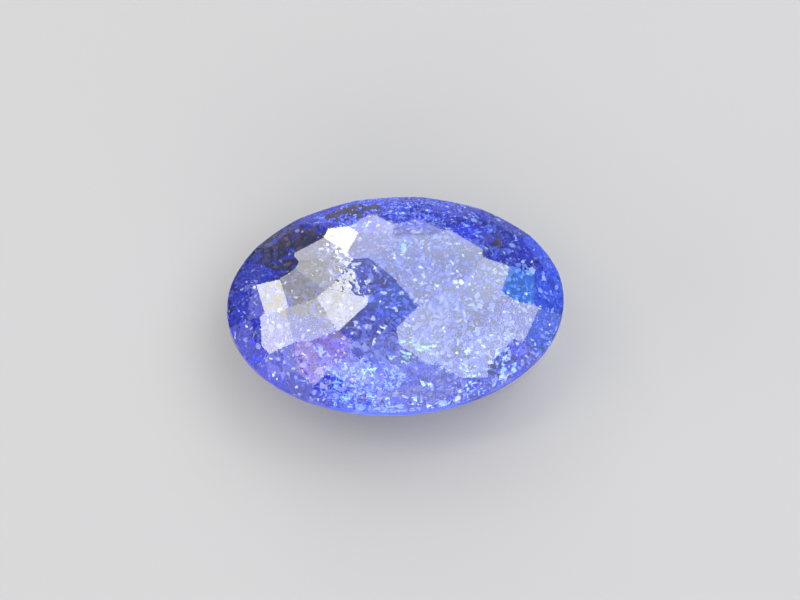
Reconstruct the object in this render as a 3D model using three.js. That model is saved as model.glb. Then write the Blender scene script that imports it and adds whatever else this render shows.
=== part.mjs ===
// An oval tanzanite, cut and polished: a domed crown of many small facets, a thin
// girdle and a plain faceted pavilion that ends in a small flat culet.
// Millimetres. X runs along the stone, Y across it, and Z goes up from the culet,
// which lies on Z = 0. The stone's middle is over the origin.

import * as THREE from 'three';
import { ConvexGeometry } from 'three/addons/geometries/ConvexGeometry.js';

// ---- Sizes -------------------------------------------------------------------

const stoneLength = 10.0;
const stoneWidth = 7.04;
const crownRise = 1.5;
const girdleThickness = 0.2;
const pavilionDepth = 2.1;

const halfLength = stoneLength / 2;
const halfWidth = stoneWidth / 2;
const girdleBottom = pavilionDepth;
const girdleTop = pavilionDepth + girdleThickness;

// The ground edge of the girdle is a smooth oval, made of this many flats.
const girdleFlats = 96;

// The pavilion is a little fuller than a plain cone: 1 is a cone, 2 is a bowl.
// It would run on a little deeper than it is, but the culet cuts its tip off flat.
const pavilionFullness = 1.45;
const bowlDepth = pavilionDepth * 1.12;

// ---- Tiers of facets ---------------------------------------------------------

// Every facet is a flat that touches the dome, or the pavilion's bowl, at one
// spot. "reach" is how far out that spot lies, from 0 in the middle to 1 at the
// girdle, and "start" is the angle of the tier's first facet, in degrees.

// The stone was cut by hand and eye, so many crown facets sit a little off their even
// place. "drifts" moves the touching spot of the facet with that number in its tier,
// along and across the stone, in parts of the half length and of the half width.
const crownTiers = [
  {
    count: 4, start: 0, reach: 0.17,
    drifts: { 0: [0.02, -0.09], 1: [0.06, 0.03], 2: [-0.02, 0.04], 3: [-0.02, -0.04] },
  },
  {
    count: 8, start: 22.5, reach: 0.39,
    drifts: { 2: [0, 0.09], 3: [-0.08, 0.04], 4: [0.04, -0.05], 5: [-0.03, 0.03], 6: [0.02, 0] },
  },
  {
    count: 12, start: 15, reach: 0.59,
    drifts: {
      0: [-0.01, -0.1], 1: [-0.04, -0.04], 3: [0.04, 0.03], 5: [-0.02, -0.06],
      6: [0.07, -0.11], 7: [0, -0.12], 9: [0.01, 0.04], 11: [0, -0.04],
    },
  },
  {
    count: 16, start: 0, reach: 0.735,
    drifts: {
      0: [0, 0.01], 1: [0.01, 0.08], 2: [-0.02, -0.03], 4: [0.06, 0], 5: [0, 0.09],
      6: [0, 0.05], 7: [-0.05, 0.01], 8: [0, 0.07], 9: [-0.08, -0.02], 10: [-0.02, -0.05],
      12: [0.02, 0.05], 13: [0.07, 0.02], 15: [0.04, -0.02],
    },
  },
  {
    count: 16, start: 0, reach: 0.865,
    drifts: {
      0: [0.05, 0], 5: [-0.01, 0.03], 7: [0.05, 0.1], 8: [0, 0.05], 9: [-0.05, 0.03],
      10: [-0.07, 0.04], 13: [-0.09, 0], 14: [0.05, -0.01], 15: [0.06, -0.02],
    },
  },
  {
    count: 16, start: 0, reach: 0.955,
    drifts: { 7: [0.02, 0.05], 8: [0, 0.05] },
  },
];

// One more narrow facet stands between the second tier and the third.
const extraSpot = { u: -0.29, v: 0.5 };

const pavilionTiers = [
  { count: 32, start: 5.6, reach: 0.93 },
  { count: 16, start: 11.25, reach: 0.72 },
  { count: 16, start: 0, reach: 0.5 },
  { count: 8, start: 22.5, reach: 0.3 },
];

// ---- Facets as flats ---------------------------------------------------------

// The stone keeps what lies below each flat, that is behind its normal.
function flatThrough(point, normal) {
  const plane = new THREE.Plane();
  plane.setFromNormalAndCoplanarPoint(normal.normalize(), point);
  return plane;
}

// A flat that touches the crown's dome above the spot (u, v), where u and v are
// parts of the half length and the half width.
function crownFlat(u, v) {
  const height = girdleTop + crownRise * (1 - u * u - v * v);
  const point = new THREE.Vector3(u * halfLength, v * halfWidth, height);
  const slopeAlong = (2 * crownRise * u) / halfLength;
  const slopeAcross = (2 * crownRise * v) / halfWidth;
  return flatThrough(point, new THREE.Vector3(slopeAlong, slopeAcross, 1));
}

// A flat that touches the pavilion's bowl below the spot (u, v).
function pavilionFlat(u, v) {
  const reach = Math.hypot(u, v);
  const height = girdleBottom - bowlDepth * (1 - reach ** pavilionFullness);
  const point = new THREE.Vector3(u * halfLength, v * halfWidth, height);
  const steepness = bowlDepth * pavilionFullness * reach ** (pavilionFullness - 1);
  const slopeAlong = (steepness * u) / (reach * halfLength);
  const slopeAcross = (steepness * v) / (reach * halfWidth);
  return flatThrough(point, new THREE.Vector3(slopeAlong, slopeAcross, -1));
}

function tierSpots(tier) {
  const spots = [];
  for (let place = 0; place < tier.count; place += 1) {
    const turn = THREE.MathUtils.degToRad(tier.start + (360 * place) / tier.count);
    const [along, across] = tier.drifts?.[place] ?? [0, 0];
    spots.push({
      u: tier.reach * Math.cos(turn) + along,
      v: tier.reach * Math.sin(turn) + across,
    });
  }
  return spots;
}

function crownFlats() {
  const spots = [extraSpot, ...crownTiers.flatMap(tierSpots)];
  return spots.map((spot) => crownFlat(spot.u, spot.v));
}

function pavilionFlats() {
  return pavilionTiers.flatMap(tierSpots).map((spot) => pavilionFlat(spot.u, spot.v));
}

function girdleFlatsAround() {
  const flats = [];
  for (let place = 0; place < girdleFlats; place += 1) {
    const turn = (2 * Math.PI * (place + 0.5)) / girdleFlats;
    const inset = Math.cos(Math.PI / girdleFlats);
    const point = new THREE.Vector3(
      halfLength * Math.cos(turn) * inset,
      halfWidth * Math.sin(turn) * inset,
      girdleTop,
    );
    const outward = new THREE.Vector3(
      Math.cos(turn) / halfLength,
      Math.sin(turn) / halfWidth,
      0,
    );
    flats.push(flatThrough(point, outward));
  }
  return flats;
}

// ---- Corners where the flats meet --------------------------------------------

// Cuts a flat polygon by one plane and keeps the part behind it.
function cutPolygon(corners, plane) {
  const kept = [];
  corners.forEach((corner, index) => {
    const next = corners[(index + 1) % corners.length];
    const here = plane.distanceToPoint(corner);
    const there = plane.distanceToPoint(next);
    if (here <= 0) {
      kept.push(corner);
    }
    if ((here < 0 && there > 0) || (here > 0 && there < 0)) {
      kept.push(corner.clone().lerp(next, here / (here - there)));
    }
  });
  return kept;
}

// A square on the plane, far larger than the stone. No flat here is square to the
// slanted direction that its first side is taken from.
function wideSquare(plane) {
  const reach = stoneLength * 4;
  const slanted = new THREE.Vector3(3, 2, 1);
  const across = new THREE.Vector3().crossVectors(plane.normal, slanted).setLength(reach);
  const along = new THREE.Vector3().crossVectors(across, plane.normal);
  const middle = plane.coplanarPoint(new THREE.Vector3());
  return [
    middle.clone().add(along).add(across),
    middle.clone().sub(along).add(across),
    middle.clone().sub(along).sub(across),
    middle.clone().add(along).sub(across),
  ];
}

// Each flat is cut by all the others, and what is left of it is one facet. Facets
// share their corners, so a corner is kept once, by its place to a micrometre.
function stoneCorners(flats) {
  const corners = new Map();
  for (const flat of flats) {
    let facet = wideSquare(flat);
    for (const other of flats) {
      if (other !== flat) {
        facet = cutPolygon(facet, other);
      }
    }
    for (const corner of facet) {
      const key = corner.toArray().map((value) => value.toFixed(3)).join(' ');
      if (!corners.has(key)) {
        corners.set(key, corner);
      }
    }
  }
  return [...corners.values()];
}

// ---- The stone ---------------------------------------------------------------

const culetFlat = flatThrough(new THREE.Vector3(0, 0, 0), new THREE.Vector3(0, 0, -1));
const allFlats = [culetFlat, ...crownFlats(), ...girdleFlatsAround(), ...pavilionFlats()];

const tanzaniteMaterial = new THREE.MeshStandardMaterial({
  color: 0x3a3fc4,
  roughness: 0.05,
  metalness: 0.0,
});

const stone = new THREE.Mesh(new ConvexGeometry(stoneCorners(allFlats)), tanzaniteMaterial);
stone.name = 'cut_tanzanite';

const part = new THREE.Group();
part.name = 'oval_cut_tanzanite';
part.add(stone);

export default part;
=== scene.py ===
"""Looks for the oval cut tanzanite: its clear crystal, what lies inside, and a studio."""

import math
import random

import bpy
import numpy
from mathutils import Matrix, Quaternion, Vector


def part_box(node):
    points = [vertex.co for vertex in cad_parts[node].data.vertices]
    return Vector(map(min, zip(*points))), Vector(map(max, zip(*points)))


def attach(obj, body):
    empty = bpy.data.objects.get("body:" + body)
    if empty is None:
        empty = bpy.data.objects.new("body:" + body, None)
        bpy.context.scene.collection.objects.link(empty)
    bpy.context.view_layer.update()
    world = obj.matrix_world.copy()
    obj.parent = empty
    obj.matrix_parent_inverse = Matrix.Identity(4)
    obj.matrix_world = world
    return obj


MM = 0.001

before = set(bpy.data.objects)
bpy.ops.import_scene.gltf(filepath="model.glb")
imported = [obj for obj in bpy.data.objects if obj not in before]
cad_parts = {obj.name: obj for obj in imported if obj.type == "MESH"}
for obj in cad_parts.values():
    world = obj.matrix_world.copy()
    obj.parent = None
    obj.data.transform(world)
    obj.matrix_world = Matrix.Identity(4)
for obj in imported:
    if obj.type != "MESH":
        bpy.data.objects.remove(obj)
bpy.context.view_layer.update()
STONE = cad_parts["cut_tanzanite"]

# ---- The view ------------------------------------------------------------------

IMAGE_WIDTH, IMAGE_HEIGHT = 800, 600
CAMERA_HEIGHT_ANGLE = 65.0      # degrees above the table
CAMERA_TURN = -3.5              # degrees: the stone's right end lies a little farther away
CAMERA_DISTANCE = 100 * MM
IMAGE_SPAN = 23.74 * MM         # what the image's width takes in, at the stone
STONE_MIDDLE_PIXEL = (395.5, 303.5)
GIRDLE_HEIGHT = 2.3 * MM        # the girdle's upper edge
SENSOR_WIDTH = 36.0
CLIP_START, CLIP_END = 1 * MM, 10.0


def make_camera():
    """A long lens that looks down on the stone, with the girdle's middle on its pixel."""
    turn, tilt = math.radians(CAMERA_TURN), math.radians(CAMERA_HEIGHT_ANGLE)
    right = Vector((math.cos(turn), math.sin(turn), 0))
    level = Vector((-math.sin(turn), math.cos(turn), 0))
    forward = level * math.cos(tilt) - Vector((0, 0, 1)) * math.sin(tilt)
    up = right.cross(forward)
    pixel = IMAGE_SPAN / IMAGE_WIDTH
    aim = Vector((0, 0, GIRDLE_HEIGHT))
    aim += right * (IMAGE_WIDTH / 2 - STONE_MIDDLE_PIXEL[0]) * pixel
    aim -= up * (IMAGE_HEIGHT / 2 - STONE_MIDDLE_PIXEL[1]) * pixel
    data = bpy.data.cameras.new("camera")
    data.sensor_width = SENSOR_WIDTH
    data.lens = SENSOR_WIDTH * CAMERA_DISTANCE / IMAGE_SPAN
    data.clip_start, data.clip_end = CLIP_START, CLIP_END
    camera = bpy.data.objects.new("camera", data)
    bpy.context.scene.collection.objects.link(camera)
    basis = Matrix((right, up, -forward)).transposed().to_4x4()
    camera.matrix_world = Matrix.Translation(aim - forward * CAMERA_DISTANCE) @ basis
    bpy.context.scene.camera = camera


# ---- The studio ----------------------------------------------------------------

FLOOR_GAP = 0.015 * MM          # kept free under the culet, so the two don't coincide
FLOOR_REACH = 180 * MM          # from the middle to each side
FLOOR_COLOR = (0.215, 0.208, 0.213, 1)
FLOOR_ROUGHNESS = 0.9
FLOOR_GLOSS = 0.1

ROOM_COLOR = (1.0, 1.0, 1.0, 1)
ROOM_BRIGHTNESS = 0.4
LAMP_DISTANCE = 300 * MM


def make_floor():
    mesh = bpy.data.meshes.new("floor")
    corners = [(x * FLOOR_REACH, y * FLOOR_REACH, -FLOOR_GAP)
               for x, y in ((-1, -1), (1, -1), (1, 1), (-1, 1))]
    mesh.from_pydata(corners, [], [(0, 1, 2, 3)])
    floor = bpy.data.objects.new("floor", mesh)
    bpy.context.scene.collection.objects.link(floor)
    material = bpy.data.materials.new("pale_floor")
    material.use_nodes = True
    shader = material.node_tree.nodes["Principled BSDF"]
    shader.inputs["Base Color"].default_value = FLOOR_COLOR
    shader.inputs["Roughness"].default_value = FLOOR_ROUGHNESS
    shader.inputs["Specular IOR Level"].default_value = FLOOR_GLOSS
    mesh.materials.append(material)


def softbox(name, turn, height, roll, width, depth, radiance, color=(1, 1, 1)):
    """A rectangular lamp that faces the stone. turn is counted from +X towards +Y and
    height up from the table, both in degrees, and roll turns the lamp about its own axis,
    counter-clockwise as the stone sees it. width and depth are parts of its distance."""
    data = bpy.data.lights.new(name, "AREA")
    data.shape = "RECTANGLE"
    data.size, data.size_y = width * LAMP_DISTANCE, depth * LAMP_DISTANCE
    data.energy = radiance * math.pi * data.size * data.size_y
    data.color = color
    lamp = bpy.data.objects.new(name, data)
    bpy.context.scene.collection.objects.link(lamp)
    turn, height = math.radians(turn), math.radians(height)
    level = math.cos(height)
    toward = Vector((math.cos(turn) * level, math.sin(turn) * level, math.sin(height)))
    lamp.location = toward * LAMP_DISTANCE + Vector((0, 0, GIRDLE_HEIGHT))
    lamp.visible_camera = False
    lamp.rotation_mode = "QUATERNION"
    upright = (-toward).to_track_quat("-Z", "Y")
    lamp.rotation_quaternion = upright @ Quaternion((0, 0, 1), -math.radians(roll))


WARM_WHITE = (1.0, 1.0, 0.82)
COOL_WHITE = (0.92, 0.99, 1.0)

# Each lamp: name, turn, height, roll, width, depth, radiance, and a colour if it isn't
# white. The wide ones light the whole stone. The small ones are set so that one or two of
# the crown's facets mirror each of them towards the camera, and the three edge lamps so
# that only the worn edges between facets do. The dim blue ones deepen the blue of the
# facets that mirror them, and the last two stand for a window and a warm wall.
LAMPS = (
    ("left_low", 142, 34, 41, 0.13, 0.24, 9.5, WARM_WHITE),
    ("left_middle", 179, 45.5, 0, 0.24, 0.20, 8.2, WARM_WHITE),
    ("left_high", 178, 57, 0, 0.24, 0.22, 6.0, WARM_WHITE),
    ("left_top", 163, 70, 0, 0.22, 0.20, 9.7, WARM_WHITE),
    ("dim_left", 127.5, 40, 0, 0.31, 0.26, 3.5, WARM_WHITE),
    ("dim_middle", 120.4, 38.2, 0, 0.10, 0.10, 1.6, WARM_WHITE),
    ("dim_back", 111.2, 22.3, -37, 0.18, 0.22, 5.0),
    ("back_bright", 103.9, 16.6, 0, 0.176, 0.20, 11.0, WARM_WHITE),
    ("back_tail", 118.1, 38.86, 0, 0.06, 0.08, 5.5, WARM_WHITE),
    ("left_corner", 114.9, 58.4, 0, 0.06, 0.08, 9.0, WARM_WHITE),
    ("back_soft", 94, 16, 0, 0.17, 0.35, 3.9),
    ("wide_back", 68.3, 43.9, 42, 1.13, 0.72, 3.9, COOL_WHITE),
    ("wide_right", -15.8, 61.5, 12, 1.12, 0.72, 5.2, COOL_WHITE),
    ("front_low", -90, 17, 0, 1.6, 0.52, 5.8),
    ("left_end_low", -168, 14, 0, 0.8, 0.46, 7.0),
    ("back_low_soft", 82, 11, 0, 0.16, 0.12, 1.7),
    ("overhead", 90, 89, 0, 0.70, 1.25, 0.7),
    ("right_veil", -30, 49, 0, 0.14, 0.14, 0.8),
    ("right_veil_back", 41, 41, 0, 0.10, 0.10, 1.3),
    ("right_veil_end", 1, 42, 0, 0.10, 0.10, 0.4),
    ("front_wide", -87.5, 46, 0, 0.72, 0.44, 2.2),
    ("front_left_high", -116, 52, 0, 0.16, 0.10, 0.9),
    ("front_left_top", -108, 61, 0, 0.12, 0.10, 0.7),
    ("front_left_rim", -114, 36, 0, 0.10, 0.08, 1.0),
    ("rose_side", -147.5, 45, 0, 0.14, 0.14, 1.2),
    ("front_right_wide", -45, 36, 0, 0.9, 0.16, 1.6),
    ("front_left_wide", -157, 39, 0, 0.50, 0.20, 1.5),
    ("right_rim", -2.5, 33.6, 0, 0.12, 0.09, 4.8, (0.22, 0.36, 1.0)),
    ("right_rim_back", 27.5, 24.2, 0, 0.12, 0.10, 4.6, (0.04, 0.14, 1.0)),
    ("right_rim_low", 50.4, 9.0, 0, 0.08, 0.06, 3.2, (0.08, 0.20, 1.0)),
    ("back_rim", 67.1, 12.1, 0, 0.08, 0.08, 2.6, (0.04, 0.08, 1.0)),
    ("middle_blue", 89.4, 85.4, 0, 0.12, 0.12, 2.1, (0.05, 0.24, 1.0)),
    ("left_end_rim", 180, 35.5, 0, 0.16, 0.06, 1.0),
    ("left_rim", 147, 30, 0, 0.18, 0.07, 1.3),
    ("edge_left", 160.5, 39.5, 0, 0.10, 0.12, 12.0),
    ("edge_back", 131, 29.5, 0, 0.07, 0.07, 12.0),
    ("edge_high", 112, 30, 0, 0.06, 0.06, 12.0),
    ("window_blue", 32, 34, 0, 0.20, 0.16, 4.8, (0.08, 0.38, 1.0)),
    ("wall_rose", -138, 53, 0, 0.24, 0.20, 3.2, (1.0, 0.65, 0.6)),
)


def make_lights():
    for lamp in LAMPS:
        softbox(*lamp)
    world = bpy.data.worlds.new("studio")
    world.use_nodes = True
    background = world.node_tree.nodes["Background"]
    background.inputs["Color"].default_value = ROOM_COLOR
    background.inputs["Strength"].default_value = ROOM_BRIGHTNESS
    bpy.context.scene.world = world


# ---- The crystal ---------------------------------------------------------------

TANZANITE_IOR = 1.69
ABSORPTION_COLOR = (0.18, 0.36, 0.97, 1)
ABSORPTION_DENSITY = 400        # per metre
EDGE_WEAR = 0.025 * MM          # the edges between facets are rounded off by this much
POLISH_ROUGHNESS = (0.006, 0.03)
POLISH_PATCH = 1.2 * MM         # the polish is finer in some patches than in others
WAVE_SIZE = 0.45 * MM           # and it is faintly wavy
WAVE_HEIGHT = 0.003 * MM
GIRDLE_ROUGHNESS = 0.38         # the girdle is ground, not polished
GIRDLE_STEEPNESS = 0.1          # its sides point up or down by less than this


def noise(material, size, detail):
    """A cloudy pattern of lumps about this large, laid through the stone's own space."""
    nodes, links = material.node_tree.nodes, material.node_tree.links
    place = nodes.new("ShaderNodeTexCoord")
    texture = nodes.new("ShaderNodeTexNoise")
    texture.inputs["Scale"].default_value = 1 / size
    texture.inputs["Detail"].default_value = detail
    links.new(place.outputs["Object"], texture.inputs["Vector"])
    return texture.outputs["Fac"]


def girdle_mask(material):
    """1 on the girdle, whose sides stand upright, and 0 on the facets."""
    nodes, links = material.node_tree.nodes, material.node_tree.links
    place = nodes.new("ShaderNodeTexCoord")
    parts = nodes.new("ShaderNodeSeparateXYZ")
    steepness = nodes.new("ShaderNodeMath")
    steepness.operation = "ABSOLUTE"
    upright = nodes.new("ShaderNodeMath")
    upright.operation = "LESS_THAN"
    upright.inputs[1].default_value = GIRDLE_STEEPNESS
    links.new(place.outputs["Normal"], parts.inputs["Vector"])
    links.new(parts.outputs["Z"], steepness.inputs[0])
    links.new(steepness.outputs["Value"], upright.inputs[0])
    return upright.outputs["Value"]


def crystal_material():
    """Clear blue crystal with a hand polish on its facets and a ground girdle."""
    material = bpy.data.materials.new("tanzanite_crystal")
    material.use_nodes = True
    nodes, links = material.node_tree.nodes, material.node_tree.links
    shader = nodes["Principled BSDF"]
    shader.inputs["Base Color"].default_value = (1, 1, 1, 1)
    shader.inputs["IOR"].default_value = TANZANITE_IOR
    shader.inputs["Transmission Weight"].default_value = 1.0

    polish = nodes.new("ShaderNodeMapRange")
    polish.inputs["To Min"].default_value = POLISH_ROUGHNESS[0]
    polish.inputs["To Max"].default_value = POLISH_ROUGHNESS[1]
    links.new(noise(material, POLISH_PATCH, detail=4), polish.inputs["Value"])
    finish = nodes.new("ShaderNodeMix")
    finish.inputs["B"].default_value = GIRDLE_ROUGHNESS
    links.new(girdle_mask(material), finish.inputs["Factor"])
    links.new(polish.outputs["Result"], finish.inputs["A"])
    links.new(finish.outputs["Result"], shader.inputs["Roughness"])

    worn = nodes.new("ShaderNodeBevel")
    worn.inputs["Radius"].default_value = EDGE_WEAR
    waves = nodes.new("ShaderNodeBump")
    waves.inputs["Distance"].default_value = WAVE_HEIGHT
    links.new(worn.outputs["Normal"], waves.inputs["Normal"])
    links.new(noise(material, WAVE_SIZE, detail=2), waves.inputs["Height"])
    links.new(waves.outputs["Normal"], shader.inputs["Normal"])

    absorb = nodes.new("ShaderNodeVolumeAbsorption")
    absorb.inputs["Color"].default_value = ABSORPTION_COLOR
    absorb.inputs["Density"].default_value = ABSORPTION_DENSITY
    links.new(absorb.outputs["Volume"], nodes["Material Output"].inputs["Volume"])
    return material


def dress_stone():
    STONE.data.materials.clear()
    STONE.data.materials.append(crystal_material())
    for polygon in STONE.data.polygons:
        polygon.use_smooth = False


# ---- What is inside the crystal --------------------------------------------------

# The crystal is full of small cracks and healed films. Each is a thin chip with an
# uneven rim. A chip's size is its half length, its breadth is a part of its length, and
# its lean is how far it tends to tilt out of level.
SEED = 11
CHIP_MARGIN = 0.10 * MM                  # what is left between a chip and the surface
CHIP_FLATNESS = 0.08
RIM_CORNERS = (4, 7)
RIM_SLIP = 0.3                           # a corner's slip along the rim, in parts of a side
RIM_REACH = (0.7, 1.1)
SMALL_SHARE = 1.6                        # above 1, small sizes are the most common

# Light chips: some lie loose, and others lie side by side along healed cracks, which are
# bent and rippled sheets.
LIGHT_SIZES = (0.03 * MM, 0.15 * MM)
LOOSE_COUNT = 2100
LOOSE_LEAN = 0.8
LOOSE_BREADTH = (0.35, 0.9)
VEIL_COUNT = 10
VEIL_CHIPS = 160
VEIL_MARGIN = 4 * CHIP_MARGIN            # between a sheet's middle and the surface
VEIL_LEAN = 0.9
VEIL_REACH = (0.7, 1.8)                  # millimetres
VEIL_BEND = 0.25                         # per millimetre, either way
VEIL_RIPPLE = (0.05, 0.12)               # millimetres
VEIL_WAVES = (3, 6)                      # radians per millimetre
VEIL_SPREAD = (0.5, 0.35)                # of its chips, in parts of its reach
VEIL_JITTER = 0.25                       # how far a chip tilts out of its sheet
VEIL_BREADTH = (0.35, 0.8)
VEIL_SCALE = 0.8                         # its chips are smaller than loose ones
# Two wide healed cracks, under the back of the crown and along the front rim: the middle
# in millimetres, which way the sheet faces, its reach in millimetres, and how many chips.
WIDE_VEILS = (
    ((0.45, 1.95, 2.1), (0, 0.35, 1), 1.5, 750),
    ((0.2, -2.6, 1.9), (0, 0.8, 0.6), 1.7, 650),
)

# Clouds of dark flakes, mostly at the left and the back. They are painted shade: dark chips
# put where the crown's facets lie in shade, to darken them. Each cloud: middle and half
# sizes in millimetres, and how many flakes.
SHADE_FLAKE_CLOUDS = (
    ((-2.7, 0.45, 2.75), (1.5, 1.1, 0.45), 300),
    ((-2.8, 1.8, 2.35), (1.5, 0.8, 0.4), 340),
    ((-1.2, 2.8, 2.25), (1.1, 0.4, 0.25), 55),
    ((-0.9, 3.05, 2.35), (0.8, 0.2, 0.15), 45),
    ((3.0, 1.55, 2.75), (0.5, 0.3, 0.2), 20),
)
CLOUD_FILLING = 0.4                      # below 1, more flakes lie near a cloud's edge
SHADE_FLAKE_SIZES = (0.06 * MM, 0.17 * MM)
SHADE_FLAKE_SMALL_SHARE = 1.2
SHADE_FLAKE_LEAN = 0.4
SHADE_FLAKE_BREADTH = (0.5, 0.9)

# Light chips are rare at the back, less so towards the right, and rarer still in and
# close round a dark cloud, so that these parts look darker: painted shade.
BACK_LOSS, RIGHT_GAIN = 0.65, 0.6
CLOUD_EDGE, CLOUD_CHANCE = 1.1, 0.15

# Fine bright cracks are spread just below the crown.
FINE_COUNT = 480
FINE_DEPTHS = (0.12, 0.8)                # millimetres below the crown
FINE_SIZES = (0.02 * MM, 0.08 * MM)
FINE_LEAN = 0.5
FINE_BREADTH = (0.4, 0.9)

# Large bright cracks lie each in its own place: place along and across and half length
# in millimetres, and breadth. Each is a knot of chips.
SPECK_PARTS = 5
SPECK_DEPTH = 0.28 * MM
SPECK_SPREAD = (0.5, 0.5, 0.3)           # of its chips, in parts of its half length
SPECK_PART_SIZES = (0.45, 0.8)           # also in parts of its half length
SPECK_LEAN = 0.3
LARGE_SPECKS = (
    (-0.43, -1.25, 0.13, 0.4), (-0.89, -1.18, 0.09, 0.7), (-0.70, -0.94, 0.09, 0.8),
    (-0.03, -0.71, 0.10, 0.7), (2.97, -2.50, 0.17, 0.6), (4.44, -1.51, 0.08, 0.9),
    (1.86, 0.03, 0.11, 0.8), (1.68, 0.67, 0.08, 0.8), (1.67, 1.35, 0.07, 0.7),
    (1.64, 1.95, 0.09, 0.5), (-1.57, -2.18, 0.10, 0.6), (-1.35, -2.52, 0.07, 0.8),
    (-2.76, -1.70, 0.08, 0.6), (-2.23, -2.13, 0.07, 0.8), (-3.66, -2.03, 0.08, 0.7),
    (-4.56, -1.34, 0.08, 0.6), (-2.08, 1.53, 0.09, 0.8), (-0.04, 2.22, 0.08, 0.7),
    (-0.38, 2.13, 0.08, 0.8), (1.33, -1.33, 0.06, 0.8), (2.46, -1.74, 0.07, 0.8),
    (3.02, -2.06, 0.06, 0.8), (0.85, -2.80, 0.08, 0.7), (0.12, -3.06, 0.07, 0.9),
    (-2.43, -2.88, 0.06, 0.7), (0.84, 0.23, 0.12, 0.25), (0.77, 0.01, 0.12, 0.25),
    (0.28, 1.12, 0.13, 0.35), (0.54, -1.82, 0.12, 0.5), (-1.15, 0.75, 0.12, 0.6),
    (-0.80, 0.15, 0.11, 0.7), (-1.35, 0.10, 0.08, 0.6), (-0.55, 0.55, 0.09, 0.5),
    (-0.35, -0.25, 0.09, 0.8), (-1.25, -1.05, 0.11, 0.5), (-0.70, -1.60, 0.10, 0.6),
    (-1.60, -1.45, 0.08, 0.8), (-0.20, -2.05, 0.10, 0.5), (0.15, -0.30, 0.08, 0.6),
)

# Healed films just below the crown. Their green is a painted glint: the colour that such
# films flash by interference is painted into them. Each: place along and across, half
# length and half width in millimetres, how each is turned in degrees, and how many chips it
# has.
SHIMMERS = (
    (0.52, -1.82, 0.52, 0.12, -14, 34), (0.22, -2.10, 0.16, 0.10, -30, 14),
    (0.28, 1.20, 0.06, 0.30, 0, 16), (-0.26, -2.06, 0.10, 0.08, 0, 5),
)
SHIMMER_DEPTHS = (0.12, 0.3)             # millimetres below the crown
SHIMMER_SIZES = (0.04 * MM, 0.12 * MM)
SHIMMER_LEAN = 0.25
SHIMMER_SPIN = 0.3                       # radians that a chip may turn within its film
SHIMMER_BREADTH = (0.3, 0.5)

# Each kind of chip: its material's name, its tones, its roughness, and how much of the
# light goes through it. A tone has its place on the ramp and its colour.
HEALED_FILM = ("healed_film", (
    (0.0, (0.12, 0.17, 0.85, 1)), (0.3, (0.33, 0.43, 1.0, 1)),
    (0.8, (0.56, 0.66, 1.0, 1)), (1.0, (0.80, 0.87, 1.0, 1)),
), 0.4, 0.45)
# The dark flakes' tones are painted shade.
SHADE_FLAKE = ("painted_shade_flake", (
    (0.0, (0.003, 0.006, 0.06, 1)), (0.6, (0.008, 0.02, 0.16, 1)),
    (1.0, (0.09, 0.03, 0.05, 1)),
), 0.5, 0.0)
BRIGHT_CRACK = ("bright_crack", (
    (0.0, (0.45, 0.55, 1.0, 1)), (0.5, (0.75, 0.82, 1.0, 1)),
    (0.9, (1.0, 1.0, 1.0, 1)), (1.0, (0.75, 1.0, 0.85, 1)),
), 0.3, 0.0)
# The healed films' green tones are a painted glint.
GLINT_FILM = ("painted_green_glint", (
    (0.0, (0.15, 0.65, 0.70, 1)), (0.5, (0.33, 0.82, 0.85, 1)),
    (1.0, (0.65, 0.95, 0.85, 1)),
), 0.3, 0.1)

# Tanzanite looks violet in one direction and blue in another. The chips are tinted from
# one to the other along the stone, between these two places.
TINT_REACH = (-2.5 * MM, 3.0 * MM)
VIOLET_TINT = (0.97, 0.84, 0.90, 1)
BLUE_TINT = (0.90, 1.0, 1.0, 1)

CROWN_UPWARD = 0.3                       # the crown's faces point up by more than this


def stone_planes():
    """The stone's faces as outward normals and distances, for telling in from out."""
    polygons, vertices = STONE.data.polygons, STONE.data.vertices
    normals = numpy.array([p.normal[:] for p in polygons])
    corners = numpy.array([vertices[p.vertices[0]].co[:] for p in polygons])
    return normals, (normals * corners).sum(axis=1)


PLANES = stone_planes()
STONE_LOW, STONE_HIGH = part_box("cut_tanzanite")


def depth_inside(point):
    """How far under the surface a point lies. It is below 0 outside the stone."""
    normals, distances = PLANES
    return float((distances - normals @ numpy.array(point)).min())


def crown_height(x, y):
    """How high the crown's surface is above a place on the table."""
    normals, distances = PLANES
    upward = normals[:, 2] > CROWN_UPWARD
    left = distances[upward] - normals[upward, 0] * x - normals[upward, 1] * y
    return float((left / normals[upward, 2]).min())


def turn_to(normal, rng):
    """A turn that takes +Z to the normal, with a random spin about it."""
    spin = Quaternion((0, 0, 1), rng.uniform(0, 2 * math.pi))
    return (normal.to_track_quat("Z", "Y") @ spin).to_matrix()


def leaning_up(rng, lean):
    """A direction that is more or less straight up."""
    return Vector((rng.gauss(0, lean), rng.gauss(0, lean), 1)).normalized()


def between(rng, sizes, small_share=SMALL_SHARE):
    """A size from the range."""
    small, large = sizes
    return small + (large - small) * rng.random() ** small_share


def anywhere(rng):
    """A place in the box around the stone."""
    return Vector([rng.uniform(STONE_LOW[i], STONE_HIGH[i]) for i in range(3)])


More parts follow.
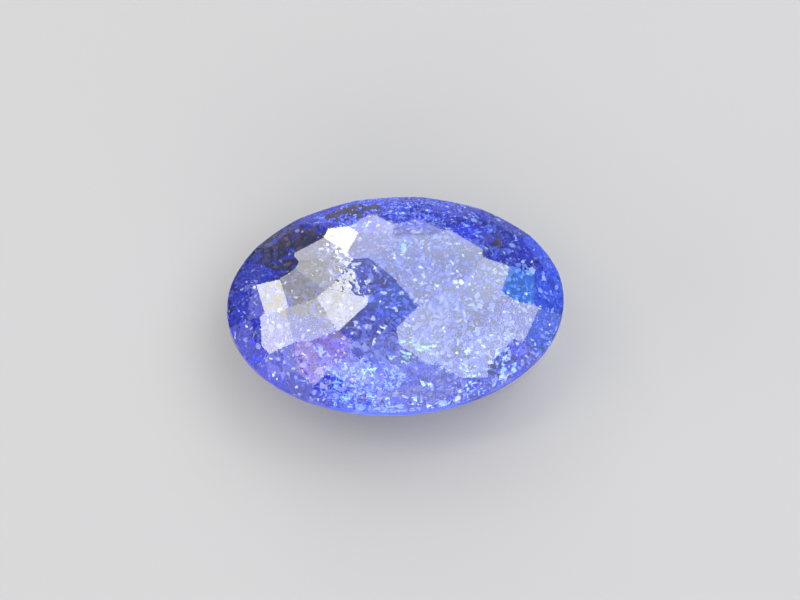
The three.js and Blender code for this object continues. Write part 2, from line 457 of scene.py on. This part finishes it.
class Chips:
    """Collects thin chips and makes one joined mesh of them."""

    def __init__(self, rng):
        self.rng = rng
        self.verts, self.faces = [], []

    def add(self, middle, turn, half_length, half_width):
        """One chip: the corners of its uneven rim, and a point on each side of it."""
        corners = self.rng.randint(*RIM_CORNERS)
        first = len(self.verts)
        for k in range(corners):
            angle = 2 * math.pi * (k + self.rng.uniform(-RIM_SLIP, RIM_SLIP)) / corners
            reach = self.rng.uniform(*RIM_REACH)
            along, across = half_length * math.cos(angle), half_width * math.sin(angle)
            self.verts.append(middle + turn @ (Vector((along, across, 0)) * reach))
        rise = turn @ Vector((0, 0, half_length * CHIP_FLATNESS))
        self.verts.append(middle + rise)
        self.verts.append(middle - rise)
        for k in range(corners):
            here, after = first + k, first + (k + 1) % corners
            self.faces.append((here, after, first + corners))
            self.faces.append((after, here, first + corners + 1))

    def make(self, name, kind):
        mesh = bpy.data.meshes.new(name)
        mesh.from_pydata(self.verts, [], self.faces)
        mesh.materials.append(chip_material(*kind))
        piece = bpy.data.objects.new(name, mesh)
        bpy.context.scene.collection.objects.link(piece)
        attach(piece, "root")


def tint_along(material):
    """The violet to blue tint, by the place along the stone."""
    nodes, links = material.node_tree.nodes, material.node_tree.links
    place = nodes.new("ShaderNodeTexCoord")
    parts = nodes.new("ShaderNodeSeparateXYZ")
    share = nodes.new("ShaderNodeMapRange")
    share.inputs["From Min"].default_value = TINT_REACH[0]
    share.inputs["From Max"].default_value = TINT_REACH[1]
    tint = nodes.new("ShaderNodeMix")
    tint.data_type = "RGBA"
    tint.inputs["A"].default_value = VIOLET_TINT
    tint.inputs["B"].default_value = BLUE_TINT
    links.new(place.outputs["Object"], parts.inputs["Vector"])
    links.new(parts.outputs["X"], share.inputs["Value"])
    links.new(share.outputs["Result"], tint.inputs["Factor"])
    return tint.outputs["Result"]


def chip_material(name, tones, roughness, clearness):
    """Chips that differ from one to the next: each takes its own tone from the ramp."""
    material = bpy.data.materials.new(name)
    material.use_nodes = True
    nodes, links = material.node_tree.nodes, material.node_tree.links
    shader = nodes["Principled BSDF"]
    shader.inputs["Roughness"].default_value = roughness
    shader.inputs["Transmission Weight"].default_value = clearness
    island = nodes.new("ShaderNodeNewGeometry")
    ramp = nodes.new("ShaderNodeValToRGB")
    elements = ramp.color_ramp.elements
    elements[0].position, elements[0].color = tones[0]
    elements[1].position, elements[1].color = tones[-1]
    for position, color in tones[1:-1]:
        elements.new(position).color = color
    links.new(island.outputs["Random Per Island"], ramp.inputs["Fac"])
    tint = nodes.new("ShaderNodeMix")
    tint.data_type = "RGBA"
    tint.blend_type = "MULTIPLY"
    tint.inputs["Factor"].default_value = 1.0
    links.new(ramp.outputs["Color"], tint.inputs["A"])
    links.new(tint_along(material), tint.inputs["B"])
    links.new(tint.outputs["Result"], shader.inputs["Base Color"])
    return material


def cloud_share(point, cloud):
    """How far out in a cloud a point lies: 0 in its middle, 1 at its edge."""
    middle, reach, _ = cloud
    return math.sqrt(sum(((point[i] / MM - middle[i]) / reach[i]) ** 2 for i in range(3)))


def room_here(point, rng):
    """Whether a light chip may lie here, which is partly left to chance."""
    if depth_inside(point) < CHIP_MARGIN:
        return False
    back = 0.5 + 0.5 * point[1] / STONE_HIGH[1]
    right = max(0.0, point[0] / STONE_HIGH[0])
    chance = 1.0 - (BACK_LOSS - RIGHT_GAIN * right) * back
    if any(cloud_share(point, cloud) < CLOUD_EDGE for cloud in SHADE_FLAKE_CLOUDS):
        chance *= CLOUD_CHANCE
    return rng.random() < chance


def add_loose_chips(chips, rng):
    made = 0
    while made < LOOSE_COUNT:
        middle = anywhere(rng)
        if not room_here(middle, rng):
            continue
        half = between(rng, LIGHT_SIZES)
        turn = turn_to(leaning_up(rng, LOOSE_LEAN), rng)
        chips.add(middle, turn, half, half * rng.uniform(*LOOSE_BREADTH))
        made += 1


def add_veil(chips, rng, heart, turn, reach, count):
    """A healed crack: a bent, rippled sheet of chips that lie almost along the sheet."""
    bend = rng.uniform(-VEIL_BEND, VEIL_BEND) / MM
    ripple, waves = rng.uniform(*VEIL_RIPPLE) * MM, rng.uniform(*VEIL_WAVES) / MM
    for _ in range(count):
        x, y = [rng.gauss(0, spread) * reach for spread in VEIL_SPREAD]
        middle = heart + turn @ Vector((x, y, bend * x * x + ripple * math.sin(waves * y)))
        if not room_here(middle, rng):
            continue
        upright = Vector((-2 * bend * x, -ripple * waves * math.cos(waves * y), 1))
        jitter = Vector([rng.gauss(0, VEIL_JITTER) for _ in range(3)])
        half = between(rng, LIGHT_SIZES) * VEIL_SCALE
        lie = turn_to((turn @ upright.normalized() + jitter).normalized(), rng)
        chips.add(middle, lie, half, half * rng.uniform(*VEIL_BREADTH))


def add_veils(chips, rng):
    for _ in range(VEIL_COUNT):
        heart = anywhere(rng)
        while depth_inside(heart) < VEIL_MARGIN:
            heart = anywhere(rng)
        turn = turn_to(leaning_up(rng, VEIL_LEAN), rng)
        add_veil(chips, rng, heart, turn, rng.uniform(*VEIL_REACH) * MM, VEIL_CHIPS)
    for middle, facing, reach, count in WIDE_VEILS:
        turn = turn_to(Vector(facing), rng)
        add_veil(chips, rng, Vector(middle) * MM, turn, reach * MM, count)


def make_light_chips(rng):
    chips = Chips(rng)
    add_loose_chips(chips, rng)
    add_veils(chips, rng)
    chips.make("inclusion_films", HEALED_FILM)


# Dark flakes that paint shade on the back and the left of the stone.
def make_shade_flakes(rng):
    flakes = Chips(rng)
    for middle, reach, count in SHADE_FLAKE_CLOUDS:
        for _ in range(count):
            away = Vector([rng.gauss(0, 1) for _ in range(3)]).normalized()
            away *= rng.random() ** CLOUD_FILLING
            point = Vector([(middle[i] + reach[i] * away[i]) * MM for i in range(3)])
            if depth_inside(point) < CHIP_MARGIN:
                continue
            half = between(rng, SHADE_FLAKE_SIZES, SHADE_FLAKE_SMALL_SHARE)
            turn = turn_to(leaning_up(rng, SHADE_FLAKE_LEAN), rng)
            flakes.add(point, turn, half, half * rng.uniform(*SHADE_FLAKE_BREADTH))
    flakes.make("painted_shade_flakes", SHADE_FLAKE)


def add_fine_specks(specks, rng):
    made = 0
    while made < FINE_COUNT:
        middle = anywhere(rng)
        middle.z = crown_height(middle.x, middle.y) - rng.uniform(*FINE_DEPTHS) * MM
        if depth_inside(middle) < CHIP_MARGIN:
            continue
        half = between(rng, FINE_SIZES)
        turn = turn_to(leaning_up(rng, FINE_LEAN), rng)
        specks.add(middle, turn, half, half * rng.uniform(*FINE_BREADTH))
        made += 1


def add_large_specks(specks, rng):
    spread_along, spread_across, spread_up = SPECK_SPREAD
    for along, across, half, breadth in LARGE_SPECKS:
        spin = Quaternion((0, 0, 1), rng.uniform(0, 2 * math.pi))
        for _ in range(SPECK_PARTS):
            apart = Vector((
                rng.gauss(0, spread_along),
                rng.gauss(0, spread_across) * breadth,
                rng.gauss(0, spread_up),
            ))
            middle = spin @ (apart * half * MM) + Vector((along * MM, across * MM, 0))
            middle.z += crown_height(middle.x, middle.y) - SPECK_DEPTH
            size = half * rng.uniform(*SPECK_PART_SIZES) * MM
            turn = turn_to(leaning_up(rng, SPECK_LEAN), rng)
            specks.add(middle, turn, size, size * breadth)


def make_specks(rng):
    specks = Chips(rng)
    add_fine_specks(specks, rng)
    add_large_specks(specks, rng)
    specks.make("inclusion_specks", BRIGHT_CRACK)


# Healed films with their green glint painted into their colour.
def make_shimmers(rng):
    shimmers = Chips(rng)
    for along, across, reach, breadth, slant, count in SHIMMERS:
        lie = Quaternion((0, 0, 1), math.radians(slant))
        for _ in range(count):
            away = lie @ Vector((rng.uniform(-reach, reach), rng.gauss(0, breadth / 2), 0))
            middle = Vector((along + away.x, across + away.y, 0)) * MM
            middle.z = crown_height(middle.x, middle.y) - rng.uniform(*SHIMMER_DEPTHS) * MM
            tilt = Vector((0, 0, 1)).rotation_difference(leaning_up(rng, SHIMMER_LEAN))
            spin = lie @ Quaternion((0, 0, 1), rng.gauss(0, SHIMMER_SPIN))
            half = between(rng, SHIMMER_SIZES)
            turn = (tilt @ spin).to_matrix()
            shimmers.add(middle, turn, half, half * rng.uniform(*SHIMMER_BREADTH))
    shimmers.make("films_with_painted_glint", GLINT_FILM)


# The inclusions, with the dark flakes as painted shade and the green films as a painted
# glint.
def make_inclusions_and_painted_light():
    rng = random.Random(SEED)
    make_light_chips(rng)
    make_shade_flakes(rng)
    make_specks(rng)
    make_shimmers(rng)


# ---- The whole -----------------------------------------------------------------

BOUNCES = 24                    # light goes in, out and round in the stone many times
GLOSSY_BOUNCES = 12


def set_render_options():
    scene = bpy.context.scene
    scene.view_settings.view_transform = "Standard"
    scene.cycles.max_bounces = BOUNCES
    scene.cycles.transmission_bounces = BOUNCES
    scene.cycles.glossy_bounces = GLOSSY_BOUNCES


make_camera()
make_floor()
make_lights()
dress_stone()
make_inclusions_and_painted_light()
set_render_options()
